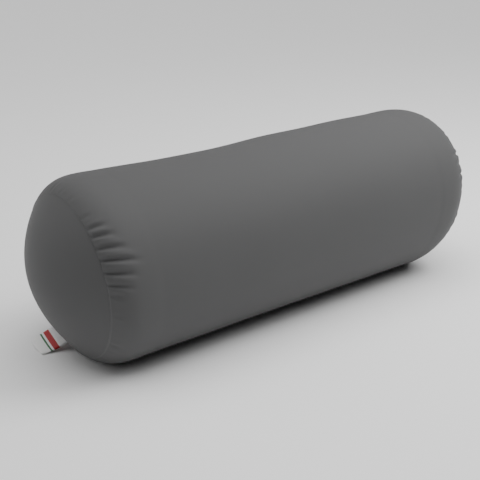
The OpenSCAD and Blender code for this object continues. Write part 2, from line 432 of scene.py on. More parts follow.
def stitchTree(material):
    # short threads laid end to end along each line of the source, dipping into the cloth at both ends
    g = Grow("stitchRow", {"Pitch": 3.5 * mm, "Length": 2.8 * mm, "Thickness": 0.4 * mm, "Turn": 0.0})
    line = g.make("GeometryNodeMeshToCurve", {}, {"Mesh": g.given("Geometry")})
    spread = g.make("GeometryNodeCurveToPoints", {"mode": "LENGTH"},
                    {"Curve": line, "Length": g.given("Pitch")})
    tangent = spread.node.outputs["Tangent"]
    half = g.math("MULTIPLY", g.given("Length"), 0.5)
    sink = g.math("MULTIPLY", g.given("Thickness"), -0.75)
    rise = g.math("MULTIPLY", g.given("Thickness"), 1.3)
    low = g.make("ShaderNodeCombineXYZ", {}, {"X": g.math("MULTIPLY", half, -1.0), "Z": sink})
    high = g.make("ShaderNodeCombineXYZ", {}, {"X": half, "Z": sink})
    middle = g.make("ShaderNodeCombineXYZ", {}, {"Z": rise})
    arch = g.make("GeometryNodeCurveQuadraticBezier", {},
                  {"Resolution": 6, "Start": low, "Middle": middle, "End": high})
    section = g.make("GeometryNodeCurvePrimitiveCircle", {"mode": "RADIUS"},
                     {"Resolution": 6, "Radius": g.math("MULTIPLY", g.given("Thickness"), 0.5)})
    thread = g.make("GeometryNodeCurveToMesh", {},
                    {"Curve": arch, "Profile Curve": section, "Fill Caps": True})
    outward = g.make("GeometryNodeInputNamedAttribute", {"data_type": "FLOAT_VECTOR"}, {"Name": "outward"})
    along = g.make("FunctionNodeAlignRotationToVector", {"axis": "X"}, {"Vector": tangent})
    upright = g.make("FunctionNodeAlignRotationToVector", {"axis": "Z", "pivot_axis": "X"},
                     {"Rotation": along, "Vector": outward})
    slant = g.make("FunctionNodeAxisAngleToRotation", {}, {"Axis": (0, 0, 1), "Angle": g.given("Turn")})
    turned = g.make("FunctionNodeRotateRotation", {"rotation_space": "LOCAL"},
                    {"Rotation": upright, "Rotate By": slant})
    row = g.make("GeometryNodeInstanceOnPoints", {},
                 {"Points": spread, "Instance": thread, "Rotation": turned})
    return g.close(row, material)


def stitches(name, lines, outward, group, **values):
    # lines of points, with the direction out of the cloth at each
    points, edges, normals = [], [], []
    for line, out in zip(lines, outward):
        first = len(points)
        points += [tuple(p) for p in line]
        normals += [tuple(n) for n in out]
        edges += [(first + i, first + i + 1) for i in range(len(line) - 1)]
    mesh = bpy.data.meshes.new(name)
    mesh.from_pydata(points, edges, [])
    mesh.attributes.new("outward", "FLOAT_VECTOR", "POINT").data.foreach_set(
        "vector", np.array(normals, np.float32).ravel())
    return grown(name, linked(name + "Path", mesh), group, values)


coverStitch = stitchTree(threadMaterial("greyThread", (0.12, 0.12, 0.121, 1)))
caseStitch = stitchTree(threadMaterial("whiteThread", (0.7, 0.7, 0.68, 1)))
print("helpers ready")


# The cover: a tube of knit cloth, gathered a little at its end seams, with a slot for the zipper.

knitLook = {
    "colour": (0.090, 0.090, 0.091, 1),
    "wale": 0.62 * mm,  # width of one column of loops
    "course": 0.46 * mm,
    "depth": 0.05 * mm,
    "cloud": 0.08,  # how uneven the dye is
    "cloudScale": 14.0,
    "fuzzScale": 2600.0,
    "roughness": 0.72,
    "sheen": 0.08,
    "wearAndSeamHighlight": (0.3, 1.1 * mm),  # painted highlight: how much lighter the cloth is painted along the end seams, and how wide
    "seamHighlightHeight": (100 * mm, 118 * mm),  # the painted highlight is full below the first height, and a tenth of it above the second
}


def knitMaterial():
    # columns of loops: each wale is a ridge, and the courses cross it on a slant
    s = Shade("greyKnit")
    along, across = s.cloth()
    ridge = abs((across * (math.pi / knitLook["wale"])).sin())
    slant = abs((across / knitLook["wale"]).fract() - 0.5) * (1.1 * knitLook["course"])
    course = wave(along + slant, knitLook["course"])
    place = s.place()
    cloud = s.noise(place, knitLook["cloudScale"], 3.0)
    fuzz = s.noise(place, knitLook["fuzzScale"], 2.0, 0.7)
    height = ridge * 0.6 + course * ridge * 0.4 + fuzz * 0.25
    # painted highlight: a narrow lighter band along the end seams, strongest low on the roll, standing in
    # for light caught by the seam
    light, width = knitLook["wearAndSeamHighlight"]
    low, high = knitLook["seamHighlightHeight"]
    below = ((high - s.split(place)[2]) / (high - low)).atLeast(0.1).atMost(1)
    wearAndSeamHighlight = (1 - abs(along - cover["allowance"]) / width).atLeast(0) * below * light
    shade = (cloud - 0.5) * knitLook["cloud"] + (height - 0.6) * 0.1 + wearAndSeamHighlight + 0.985
    return s.finish(Base_Color=s.tint(knitLook["colour"], shade),
                    Roughness=cloud * 0.08 + fuzz * 0.05 + (knitLook["roughness"] - 0.06),
                    Normal=s.bump(height, knitLook["depth"], 0.5), Sheen_Weight=knitLook["sheen"],
                    Sheen_Roughness=0.45, Specular_IOR_Level=0.25)


tubeCut = {
    "columns": 352,
    "closeColumns": (0, 0.5 * mm, 1.4 * mm, 3.2 * mm),  # from the middle of the zipper
    "stitchColumns": (-1.2 * mm, -0.45 * mm, 0, 0.45 * mm, 1.2 * mm),  # from its topstitching
    "shoulderRows": 26,
    "shoulderStep": 3 * mm,  # row spacing just inside the shoulders
    "fineReach": 27 * mm,
    "middleStep": 9 * mm,
    "slotHalf": 5.8 * mm,
    "slotEnd": 168 * mm,
    "foldRadius": 0.8 * mm,
    "hem": 8 * mm,
    "crease": 0.8 * mm,  # depth of the long seam past the zipper
    "creaseWidth": 1.1 * mm,
    "stitchAt": 9 * mm,  # from the middle of the zipper to its topstitching
    "stitchEnd": 3.8 * mm,  # from the slot's end to the row across it
    "stitchDip": 0.22 * mm,
    "dipWidth": 0.7 * mm,
}
ends = {"left": -1, "right": 1}

# Gathers at the end seams. Each fold is (degrees round the seam, depth, length). The rest are
# drawn at random within the ranges, between the angles "from" and "to". The cloth has extra
# length as far as "reach" from the seam.
gathers = {
    "slant": 0.2,  # how far a fold drifts down for each metre from the seam
    "width": 1.7 * mm,
    "fan": (0.8, 0.5),  # its width at the seam, and what it gains on its way to its end
    "ridge": 0.65,  # height of the cloth beside a fold, as a share of its depth
    "ridgeAt": 2.1,  # from the fold's middle, in its own widths
    "ridgeWidth": 1.2,
    "atSeam": 0.2,  # share of its depth that a fold has at the seam itself
    "deepens": 5 * mm,  # how soon it has all of it
    "fades": 0.45,  # the share of its length after which it grows shallow
    "jitter": (0.55, 1.6),  # how the spacing of the random folds varies
    "left": {
        "folds": [(31, 0.35 * mm, 13 * mm), (39.5, 1.0 * mm, 20 * mm), (45.5, 1.3 * mm, 24 * mm),
                  (53.5, 1.5 * mm, 30 * mm), (61, 2.0 * mm, 40 * mm), (69, 1.9 * mm, 32 * mm),
                  (76.5, 1.5 * mm, 27 * mm), (83, 0.5 * mm, 18 * mm)],
        "from": 96.0, "to": 380.0, "spacing": 13 * mm, "depth": (0.1 * mm, 0.3 * mm),
        "length": (9 * mm, 18 * mm), "seed": 5, "reach": 42 * mm,
    },
    "right": {
        "folds": [(34, 0.5 * mm, 16 * mm), (52, 1.7 * mm, 25 * mm), (60, 0.6 * mm, 16 * mm),
                  (68, 1.3 * mm, 21 * mm), (80, 0.4 * mm, 14 * mm), (102, 1.3 * mm, 22 * mm),
                  (115, 1.2 * mm, 20 * mm)],
        "from": 128.0, "to": 386.0, "spacing": 13 * mm, "depth": (0.1 * mm, 1.1 * mm),
        "length": (12 * mm, 26 * mm), "seed": 8, "reach": 30 * mm,
    },
}
zipTurn = math.radians(settling["zipAngle"])


def foldList(side):
    # (angle, depth, length) of each fold round one seam, in radians and metres
    g = gathers[side]
    rng = np.random.default_rng(g["seed"])
    folds = [(math.radians(turn), depth, length) for turn, depth, length in g["folds"]]
    angle = g["from"]
    low, high = g["depth"]
    while angle < g["to"]:
        depth = low + (high - low) * rng.uniform(0, 1) ** 2
        folds.append((math.radians(angle), depth, rng.uniform(*g["length"])))
        angle += math.degrees(g["spacing"] * rng.uniform(*gathers["jitter"]) / cover["seamRadius"])
    return folds


def gatherDepth(side, angles, fromSeam):
    # a groove with a low ridge on each side, deepest a little in from the seam
    depth = np.zeros((len(fromSeam), len(angles)))
    s = fromSeam[:, None]
    for turn, deep, length in foldList(side):
        off = apart(angles, turn)[None, :] * cover["seamRadius"] - gathers["slant"] * s
        narrow, gain = gathers["fan"]
        width = gathers["width"] * (narrow + gain * s / length)
        shape = np.exp(-(off / width) ** 2)
        for beside in (-1, 1):
            ridge = (off + beside * gathers["ridgeAt"] * width) / (gathers["ridgeWidth"] * width)
            shape = shape - gathers["ridge"] * np.exp(-ridge ** 2)
        begin = gathers["atSeam"] + (1 - gathers["atSeam"]) * smoothStep(s / gathers["deepens"])
        fade = (s - gathers["fades"] * length) / ((1 - gathers["fades"]) * length)
        depth += deep * shape * begin * (1 - smoothStep(fade))
    return depth


clothPlan = {
    "scale": 20.0,  # the solver is steadier on a larger copy
    "frames": 16,
    "reach": 56 * mm,  # from the seam to where the cloth is held again
    "ease": 0.09,  # most extra cloth, as a share of its length
    "even": 0.12,  # the share of that ease that is there all round
    "near": math.radians(7),  # how far round the seam a fold draws in extra cloth
    "full": 0.3,  # the share of a gather's reach in which all of the ease is there
    "cap": (2.2 * mm, 1.3 * mm),  # most that a point may move in and out
    "solver": {
        "quality": 7,
        "mass": 0.3,
        "air_damping": 2.0,
        "tension_stiffness": 30.0,
        "compression_stiffness": 30.0,
        "shear_stiffness": 9.0,
        "bending_stiffness": 0.6,
        "use_pressure": True,
        "uniform_pressure_force": 1.2,
        "vertex_group_mass": "held",
        "vertex_group_shrink": "ease",
        "shrink_min": 0.0,
    },
}


def relaxFolds(band, normals, start, loose, held):
    # one end of the tube as cloth: held at its seam and on the roll, and buckling in between
    rows, cols = band.shape[:2]
    scale = clothPlan["scale"]
    points = ((band + normals * start[..., None]) * scale).reshape(-1, 3)
    mesh = bpy.data.meshes.new("looseEnd")
    mesh.from_pydata(points.tolist(), [], gridSheet(band, True)[0])
    cloth = linked("looseEnd", mesh)
    pins = cloth.vertex_groups.new(name="held")
    pins.add([i * cols + j for i in held for j in range(cols)], 1.0, "REPLACE")
    ease = cloth.vertex_groups.new(name="ease")
    for k, share in enumerate(loose.ravel()):
        ease.add([k], float(share), "REPLACE")
    modifier = cloth.modifiers.new("cloth", "CLOTH")
    for key, value in clothPlan["solver"].items():
        setattr(modifier.settings, key, value)
    modifier.settings.shrink_max = -clothPlan["ease"]
    modifier.settings.effector_weights.gravity = 0.0
    modifier.collision_settings.use_collision = False
    modifier.point_cache.frame_start = 1
    modifier.point_cache.frame_end = clothPlan["frames"]
    scene = bpy.context.scene
    for step in range(1, clothPlan["frames"] + 1):
        scene.frame_set(step)
    result = cloth.evaluated_get(bpy.context.evaluated_depsgraph_get()).data
    moved = np.zeros(rows * cols * 3, np.float32)
    result.vertices.foreach_get("co", moved)
    bpy.data.objects.remove(cloth)
    bpy.data.meshes.remove(mesh)
    scene.frame_set(1)
    rise = ((moved.reshape(rows, cols, 3) / scale - band) * normals).sum(axis=-1)
    deep, high = clothPlan["cap"]
    return np.where(rise < 0, -deep * np.tanh(-rise / deep), high * np.tanh(rise / high))


def gather(grid, normals, side, angles, fromSeam):
    # how far each point of one end of the tube stands out from its smooth shape
    seeded = -gatherDepth(side, angles, fromSeam)
    folds = foldList(side)
    deepest = max(deep for turn, deep, length in folds)
    near = np.max([deep / deepest * np.exp(-(apart(angles, turn) / clothPlan["near"]) ** 2)
                   for turn, deep, length in folds], axis=0)
    share = clothPlan["even"] + (1 - clothPlan["even"]) * near
    reach, full = gathers[side]["reach"], clothPlan["full"]
    fade = smoothStep((fromSeam / reach - full) / (1 - full))
    loose = (1 - fade)[:, None] * share[None, :]
    order = np.argsort(fromSeam)
    held = [int(k) for k in (*order[:2], *order[-3:])]
    return relaxFolds(grid, normals, seeded, loose, held)


def roundColumns(near, columns):
    # angles once round from the middle of the zipper: the near ones on both sides of it, and the rest
    rest = np.linspace(near[-1], 2 * math.pi - near[-1], columns)[1:-1]
    return zipTurn + np.concatenate([near, rest, 2 * math.pi - near[:0:-1]])


def tubeAngles():
    # columns start in the middle of the zipper, with a few close ones there and at the stitching
    near = [*tubeCut["closeColumns"], tubeCut["slotHalf"] + tubeCut["foldRadius"]]
    near += [tubeCut["stitchAt"] + k for k in tubeCut["stitchColumns"]]
    return roundColumns(np.array(near) / cover["radius"], tubeCut["columns"])


def tubeProfile(layer, cut):
    # (x, radius) rows from the left allowance to the right one
    shoulder = shoulderProfile(layer, cut["shoulderRows"])
    start = layer["seamX"] - layer["shoulder"]
    end = cut["slotEnd"] + cut["foldRadius"]
    fine = np.arange(start - cut["shoulderStep"], start - cut["fineReach"], -cut["shoulderStep"])
    fine = fine[np.abs(fine - end) > 1 * mm]
    middle = np.linspace(0, fine[-1] - cut["middleStep"], round(fine[-1] / cut["middleStep"]))
    straight = np.unique(np.round(np.concatenate([middle, fine[::-1], [end]]), 6))
    inward = layer["seamRadius"] - np.linspace(0.15, 1, 4) * layer["allowance"]
    half = np.concatenate([np.stack([straight, np.full_like(straight, layer["radius"])], -1), shoulder,
                           np.stack([np.full_like(inward, layer["seamX"]), inward], -1)])
    mirrored = half[:0:-1] * [-1, 1]
    return np.concatenate([mirrored, half])


def foldStrip(edge, outward, away, cut):
    # the turned-under hem of one edge of the slot, from its outer face round to the underside
    turns = np.linspace(0, np.pi, 9)
    k = cut["foldRadius"]
    path = [(-k * math.sin(t), k - k * math.cos(t)) for t in turns]
    path += [(cut["hem"] * f, 2 * k) for f in (0.2, 0.6, 1.0)]
    grid = np.stack([edge + away * a - outward * d for a, d in path])
    normals = [outward * math.cos(t) - away * math.sin(t) for t in turns] + [-outward] * 3
    return grid, np.stack(normals)


def hemParts(grid, angles, offset, rows, cols):
    # hems along the slot's two long edges, and then across its two ends
    parts = []
    order = cols[np.argsort(offset[cols])]
    for col, sign in ((order[-1], 1), (order[0], -1)):
        away = np.array([0, -math.cos(angles[col]), -math.sin(angles[col])]) * sign
        parts.append((grid[rows, col], ring(0, 1, angles[[col] * len(rows)]), away, sign < 0))
    for row, sign in ((rows[0], -1), (rows[-1], 1)):
        parts.append((grid[row, order], ring(0, 1, angles[order]), np.array([sign, 0.0, 0.0]), sign > 0))
    made = []
    for edge, out, away, turned in parts:
        strip, normals = foldStrip(edge, out, np.broadcast_to(away, edge.shape), tubeCut)
        if turned:
            strip, normals = strip[:, ::-1], normals[:, ::-1]
        made.append(shellParts(settle(strip), cover["thickness"], normals=normals))
    return made


# The sewn edge of each end is drawn in a little at the top, and stands out as a bead lower down.
seamRim = {
    "dip": 0.03 * mm,
    "bead": 0.14 * mm,
    "width": 1.1 * mm,
    "begin": 72.0,  # degrees from the top where the bead begins
    "full": 100.0,  # and where it stands out fully
    "alongX": 0.6,  # the share of the dip and the bead that the panel's rim moves along the roll
}
poleWeld = 0.01 * mm


def rimBead(angles):
    # the seam stands out a little round the lower part of each end
    down = np.degrees(np.abs(apart(angles, 0)))
    return seamRim["bead"] * smoothStep((down - seamRim["begin"]) / (seamRim["full"] - seamRim["begin"]))


def gatherEnds(grid, normals, profile, angles):
    # moves the points of both ends of the tube, from the seam in
    along = lengths(profile)
    for side, sign in ends.items():
        seam = np.hypot(profile[:, 0] - sign * cover["seamX"], profile[:, 1] - cover["seamRadius"])
        fromSeam = (along[np.argmin(seam)] - along) * sign
        rows = (fromSeam >= 0) & (fromSeam < clothPlan["reach"])
        rise = gather(grid[rows], normals[rows], side, angles, fromSeam[rows])
        rise += np.exp(-(fromSeam[rows] / seamRim["width"]) ** 2)[:, None] * rimBead(angles)[None, :]
        grid[rows] += normals[rows] * rise[..., None]


def sewnDepth(profile, offset):
    # the long seam is a crease past both ends of the slot, and the topstitching a dip beside it
    fromMiddle = np.abs(profile[:, 0])
    crease = np.exp(-(offset / tubeCut["creaseWidth"]) ** 2) * tubeCut["crease"]
    onTube = profile[:, 1] >= cover["seamRadius"]
    past = onTube * smoothStep((fromMiddle - tubeCut["slotEnd"] - 6 * mm) / (6 * mm))
    beside = (np.abs(offset) - tubeCut["stitchAt"]) / tubeCut["dipWidth"]
    dip = np.exp(-beside ** 2) * tubeCut["stitchDip"]
    sewn = fromMiddle < tubeCut["slotEnd"] + 5 * mm
    return past[:, None] * crease[None, :] + sewn[:, None] * dip[None, :]


def makeCoverTube(material):
    angles = tubeAngles()
    profile = tubeProfile(cover, tubeCut)
    grid = np.stack([ring(x, r, angles) for x, r in profile])
    normals = gridNormals(grid, True)
    gatherEnds(grid, normals, profile, angles)
    offset = apart(angles, zipTurn) * cover["radius"]
    grid -= normals * sewnDepth(profile, offset)[..., None]
    margin = tubeCut["foldRadius"] + 0.001 * mm
    slotRows = np.abs(profile[:, 0]) < tubeCut["slotEnd"] + margin
    slotCols = np.abs(offset) < tubeCut["slotHalf"] + margin
    inRow = slotRows[:-1] & slotRows[1:]
    inCol = slotCols & np.roll(slotCols, -1)
    parts = [shellParts(settle(grid, axisHeight), cover["thickness"], True, ~(inRow[:, None] & inCol))]
    parts += hemParts(grid, angles, offset, np.nonzero(slotRows)[0], np.nonzero(slotCols)[0])
    return placed(meshObject("coverTube", parts, material), "bolster", "cover_knit", "cover_tube")


domeCut = {
    "rows": 30,
    "columns": 200,
    "crowd": 1.25,  # above 1 the rows stand closer together at the rim
    "closeRow": 0.004,  # one more row, this share of the way from the rim to the pole
}


def domeGrid(layer, side):
    # rows from the turned-in allowance out over the rim and up to the pole
    angles = np.linspace(0, 2 * np.pi, domeCut["columns"], endpoint=False)
    r0, h, x0 = layer["seamRadius"], layer["domeHeight"], layer["seamX"]
    profile = [(x0, r0 - layer["allowance"]), (x0, r0 - 0.5 * layer["allowance"]), (x0, r0 - 1 * mm)]
    shares = np.linspace(0, 1, domeCut["rows"]) ** domeCut["crowd"]
    for k in np.sort(np.append(shares, domeCut["closeRow"])):
        r = r0 * (1 - k)
        profile.append((x0 + h * (1 - (r / r0) ** 2), r))
    sink = seamRim["dip"] - (rimBead(angles) if layer is cover else 0)
    rows = []
    for x, r in profile:
        dip = sink * math.exp(-((r0 - r) / seamRim["width"]) ** 2) * (x > x0 or r == r0)
        rows.append(ring((x - dip * seamRim["alongX"]) * side, r - dip, angles))
    grid = np.stack(rows)
    return grid if side > 0 else grid[:, ::-1]


def makeEndPanel(name, layer, side, material, slotName, node, depth):
    grid = settle(domeGrid(layer, side), depth)
    normals = gridNormals(grid, True)
    middle = normals[-3].mean(axis=0)
    normals[-1] = middle / np.linalg.norm(middle)
    parts = [shellParts(grid, layer["thickness"], True, normals=normals)]
    return placed(meshObject(name, parts, material, poleWeld), "bolster", slotName, node)


seamThread = {"Pitch": 3.5 * mm, "Length": 2.8 * mm, "Thickness": 0.4 * mm}


def seamStitches(name, layer, side, group, slotName, node):
    # the needle and the bobbin thread, on the two faces of the turned-in allowances
    angles = np.linspace(0, 2 * np.pi, 181)
    r = layer["seamRadius"] - layer["allowance"] / 2
    lines, outward = [], []
    for face in (-1, 1):
        x = side * (layer["seamX"] + face * layer["thickness"])
        lines.append(settle(ring(x, r, angles)))
        outward.append(np.tile([side * face, 0.0, 0.0], (len(angles), 1)))
    return placed(stitches(name, lines, outward, group, **seamThread), "bolster", slotName, node)


def makeTopstitching():
    # two rows along the slot, which stop just short of the one across each of its ends
    r = cover["radius"] - tubeCut["stitchDip"]
    endX = tubeCut["slotEnd"] + tubeCut["stitchEnd"]
    rowX = np.linspace(-1, 1, 120) * (endX - 0.6 * mm)
    lines, outward = [], []
    for side in (-1, 1):
        angle = zipTurn + side * tubeCut["stitchAt"] / cover["radius"]
        out = ring(0, 1, np.full(len(rowX), angle))
        lines.append(settle(out * r + rowX[:, None] * [1, 0, 0]))
        outward.append(out)
        across = zipTurn + np.linspace(-1, 1, 12) * (tubeCut["stitchAt"] - 1.2 * mm) / cover["radius"]
        lines.append(settle(ring(side * endX, cover["radius"], across)))
        outward.append(ring(0, 1, across))
    made = stitches("zipTopstitching", lines, outward, coverStitch,
                    Pitch=3.5 * mm, Length=3.3 * mm, Thickness=0.42 * mm)
    return placed(made, "bolster", "cover_thread", "zip_topstitching")


knit = knitMaterial()
coverTube = makeCoverTube(knit)
for end, side in ends.items():
    makeEndPanel(end + "EndPanel", cover, side, knit, "cover_knit", end + "_end_panel", axisHeight)
for end, side in ends.items():
    seamStitches(end + "SeamThread", cover, side, coverStitch, "cover_thread", end + "_seam_thread")
makeTopstitching()
print("cover made")


# The zipper. Its own frame has X along the roll, Y across the chain and Z out from the roll's axis.

zipper = {
    "tapeLength": 350 * mm,
    "tapeEdge": 0.7 * mm,  # from the middle of the chain
    "tapeWidth": 14.9 * mm,
    "tapeTop": 87.3 * mm,  # from the roll's axis
    "tapeThickness": 0.6 * mm,
    "chainLength": 320 * mm,
    "tapeMeets": (163.3 * mm, 166 * mm),  # past the stops the two tapes come together
    "tapeCloses": 0.8,  # by this share of the gap between them
    "tapeGrid": (101, 13),
    "pitch": 1.3 * mm,
    "headGap": 0.4 * mm,
    "coilWidth": 2.6 * mm,
    "coilHeight": 2.0 * mm,
    "wire": 0.74 * mm,
    "thread": 0.26 * mm,
}
zipMatrix = Matrix.Translation((0, 0, axisHeight)) @ Matrix.Rotation(zipTurn, 4, "X")


def tapeMaterial():
    tape = {"colour": (0.055, 0.055, 0.056, 1), "rib": 0.9 * mm, "pick": 0.45 * mm, "depth": 0.08 * mm}
    s = Shade("zipTapeWeave")
    along, across = s.cloth()
    zigzag = abs((across / tape["rib"]).fract() - 0.5) * (2 * tape["pick"])
    weave = wave(along + zigzag, tape["pick"])
    fine = s.noise(s.place(), 1800.0, 2.0)
    height = weave * 0.8 + fine * 0.3
    return s.finish(Base_Color=s.tint(tape["colour"], height * 0.3 + 0.8), Roughness=fine * 0.1 + 0.7,
                    Normal=s.bump(height, tape["depth"], 0.7), Sheen_Weight=0.2)


def coilMaterial():
    s = Shade("zipCoilNylon")
    spots = s.noise(s.place(), 900.0, 2.0)
    return s.finish(Base_Color=s.tint((0.05, 0.05, 0.051, 1), spots * 0.2 + 0.9),
                    Roughness=spots * 0.15 + 0.28, Specular_IOR_Level=0.5)


def metalMaterial():
    metal = {"colour": (0.42, 0.42, 0.43, 1), "patch": 380.0, "grain": 2400.0}
    s = Shade("zipNickel")
    place = s.place()
    wearAndSeamHighlight = s.noise(place, metal["patch"], 4.0, 0.6)
    grain = s.noise(place, metal["grain"], 2.0)
    return s.finish(Base_Color=s.tint(metal["colour"], wearAndSeamHighlight * 0.3 + 0.82), Metallic=1.0,
                    Roughness=wearAndSeamHighlight * 0.22 + grain * 0.08 + 0.2, Normal=s.bump(grain, 0.01 * mm, 0.5))


def makeTape(name, side, material, node):
    # side is 1 for the lower tape and -1 for the upper one
    r = zipper["tapeTop"]
    rows, cols = zipper["tapeGrid"]
    rowX = np.linspace(-0.5, 0.5, rows) * zipper["tapeLength"]
    begin, end = zipper["tapeMeets"]
    meet = smoothStep((np.abs(rowX) - begin) / (end - begin))[:, None]
    share = np.linspace(0, 1, cols)[::-side]
    closed = zipper["tapeCloses"] * meet * (1 - share)
    offset = zipper["tapeEdge"] * (1 - closed) + share * zipper["tapeWidth"]
    angles = zipTurn - side * offset / r
    out = np.stack([np.zeros_like(angles), -np.sin(angles), np.cos(angles)], -1)
    grid = out * r + rowX[:, None, None] * [1, 0, 0] + [0, 0, axisHeight]
    parts = [shellParts(grid, zipper["tapeThickness"], normals=out)]
    return placed(meshObject(name, parts, material), "bolster", "zip_tape", node)


def coilTree(material):
    # one row of coil teeth with the thread that sews it down, along X and centred on the origin
    g = Grow("zipCoil", {"Length": 320 * mm, "Pitch": 1.5 * mm, "Width": 2.6 * mm, "Height": 2 * mm,
                         "Wire": 0.6 * mm, "Thread": 0.26 * mm})
    wire, thread = g.given("Wire"), g.given("Thread")
    turns = g.math("DIVIDE", g.given("Length"), g.given("Pitch"))
    spiral = g.make("GeometryNodeCurveSpiral", {},
                    {"Resolution": 12, "Rotations": turns, "Start Radius": 1.0, "End Radius": 1.0,
                     "Height": g.math("SUBTRACT", g.given("Length"), wire)})
    high = g.math("MULTIPLY", g.math("SUBTRACT", g.given("Height"), wire), 0.5)
    wide = g.math("MULTIPLY", g.math("SUBTRACT", g.given("Width"), wire), 0.5)
    size = g.make("ShaderNodeCombineXYZ", {}, {"X": high, "Y": wide, "Z": 1.0})
    flat = g.make("GeometryNodeTransform", {}, {"Geometry": spiral, "Scale": size})
    start = g.math("MULTIPLY", g.math("SUBTRACT", g.given("Length"), wire), -0.5)
    begin = g.make("ShaderNodeCombineXYZ", {}, {"X": start})
    laid = g.make("GeometryNodeTransform", {},
                  {"Geometry": flat, "Rotation": (0, math.pi / 2, 0), "Translation": begin})
    wireRing = g.make("GeometryNodeCurvePrimitiveCircle", {"mode": "RADIUS"},
                      {"Resolution": 6, "Radius": g.math("MULTIPLY", wire, 0.5)})
    teeth = g.make("GeometryNodeCurveToMesh", {},
                   {"Curve": laid, "Profile Curve": wireRing, "Fill Caps": True})
    # the sewing thread rises over each turn and dips between two
    end = g.make("ShaderNodeCombineXYZ", {}, {"X": g.math("MULTIPLY", start, -1.0)})
    row = g.make("GeometryNodeCurvePrimitiveLine", {}, {"Start": begin, "End": end})
    fine = g.make("GeometryNodeResampleCurve", {"mode": "LENGTH"},
                  {"Curve": row, "Length": g.math("MULTIPLY", g.given("Pitch"), 0.25)})
    x = g.make("ShaderNodeSeparateXYZ", {}, {0: g.make("GeometryNodeInputPosition")})
    turn = g.math("DIVIDE", g.math("MULTIPLY", g.math("SUBTRACT", x, start), 2 * math.pi), g.given("Pitch"))
    lift = g.math("MULTIPLY", g.math("SINE", turn, 0.0), g.math("MULTIPLY", wire, 0.25))
    level = g.math("MULTIPLY", g.math("SUBTRACT", g.given("Height"), wire), 0.5)
    rise = g.make("ShaderNodeCombineXYZ", {}, {"Z": g.math("ADD", lift, level)})
    raised = g.make("GeometryNodeSetPosition", {}, {"Geometry": fine, "Offset": rise})
    threadRing = g.make("GeometryNodeCurvePrimitiveCircle", {"mode": "RADIUS"},
                        {"Resolution": 5, "Radius": g.math("MULTIPLY", thread, 0.5)})
    sewn = g.make("GeometryNodeCurveToMesh", {},
                  {"Curve": raised, "Profile Curve": threadRing, "Fill Caps": True})
    joined = g.make("GeometryNodeJoinGeometry", {}, {0: teeth})
    g.group.links.new(sewn, joined.node.inputs[0])
    return g.close(joined, material)


def makeCoil(name, side, group, node):
    mesh = bpy.data.meshes.new(name)
    mesh.from_pydata([(0, 0, 0)], [], [])
    made = grown(name, linked(name + "Start", mesh), group,
                 {"Length": zipper["chainLength"], "Pitch": zipper["pitch"], "Width": zipper["coilWidth"],
                  "Height": zipper["coilHeight"], "Wire": zipper["wire"], "Thread": zipper["thread"]})
    middle = side * (zipper["headGap"] + zipper["coilWidth"] / 2)
    height = zipper["tapeTop"] + zipper["coilHeight"] / 2
    half = 0.25 * zipper["pitch"] * side  # the two rows stand half a pitch apart
    made.data.transform(zipMatrix @ Matrix.Translation((half, middle, height)))
    return placed(made, "bolster", "zip_coil", node)


def softened(name, node, body, width, material):
    # the node's own shape with its edges rounded
    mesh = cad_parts[node].data.copy()
    shape = bmesh.new()
    shape.from_mesh(mesh)
    bmesh.ops.remove_doubles(shape, verts=shape.verts, dist=0.002 * mm)
    bmesh.ops.dissolve_limit(shape, angle_limit=math.radians(1), verts=shape.verts, edges=shape.edges)
    bmesh.ops.recalc_face_normals(shape, faces=shape.faces)
    shape.to_mesh(mesh)
    shape.free()
    mesh.materials.clear()
    mesh.materials.append(material)
    mesh.polygons.foreach_set("use_smooth", [True] * len(mesh.polygons))
    source = linked(name + "Plain", mesh)
    bevel = source.modifiers.new("edges", "BEVEL")
    bevel.width = width
    bevel.segments = 3
    bevel.limit_method = "ANGLE"
    bevel.angle_limit = math.radians(35)
    level = source.modifiers.new("flats", "WEIGHTED_NORMAL")
    level.weight = 100
    return placed(plainMesh(name, source), body, "zip_metal", node)


halves = (("Upper", -1, "_upper"), ("Lower", 1, "_lower"))
tapeWeave = tapeMaterial()
for half, side, suffix in halves:
    makeTape("zipTape" + half, side, tapeWeave, "zip_tape" + suffix)
coilRow = coilTree(coilMaterial())
for half, side, suffix in halves:
    makeCoil("zipCoil" + half, side, coilRow, "zip_coil" + suffix)
nickel = metalMaterial()
softened("zipTopStops", "zip_top_stops", "bolster", 0.2 * mm, nickel)
softened("zipBottomStop", "zip_bottom_stop", "bolster", 0.2 * mm, nickel)
softened("zipSlider", "zip_slider", "slider", 0.25 * mm, nickel)
softened("zipPullTab", "zip_pull_tab", "pull_tab", 0.3 * mm, nickel)
print("zipper made")


# The label: one woven strip folded in half and caught in the left end seam.

labelPlan = {
    "width": 24 * mm,
    "reach": 27.5 * mm,  # from the seam to the fold
    "ply": 0.35 * mm,
    "gap": 0.5 * mm,
    "at": 24.0,  # degrees round the seam, from the bottom towards the back
    "droop": 23.0,
    "bend": 1.6 * mm,  # radius where it turns out of the seam
    "bendSteps": 7,
    "inSeam": 0.6 * mm,
    "flatSteps": 16,
    "arch": 0.35,  # degrees that it bends back in each of those steps
    "opens": 6 * mm,  # how far from the seam its two plies are fully apart
    "curl": 0.5 * mm,  # rise of its outer corners
    "floorRoom": 0.5 * mm,  # it bends where it meets the surface that the roll rests on
    "floorBend": 1.4 * mm,
    "wide": (9.5 * mm, 15.0 * mm),  # its woven stripes, from the seam
    "narrow": (17.0 * mm, 18.6 * mm),
    # width of the painted shadow line along one edge of the under ply
    "paintedPlyShadow": 0.45 * mm,
}


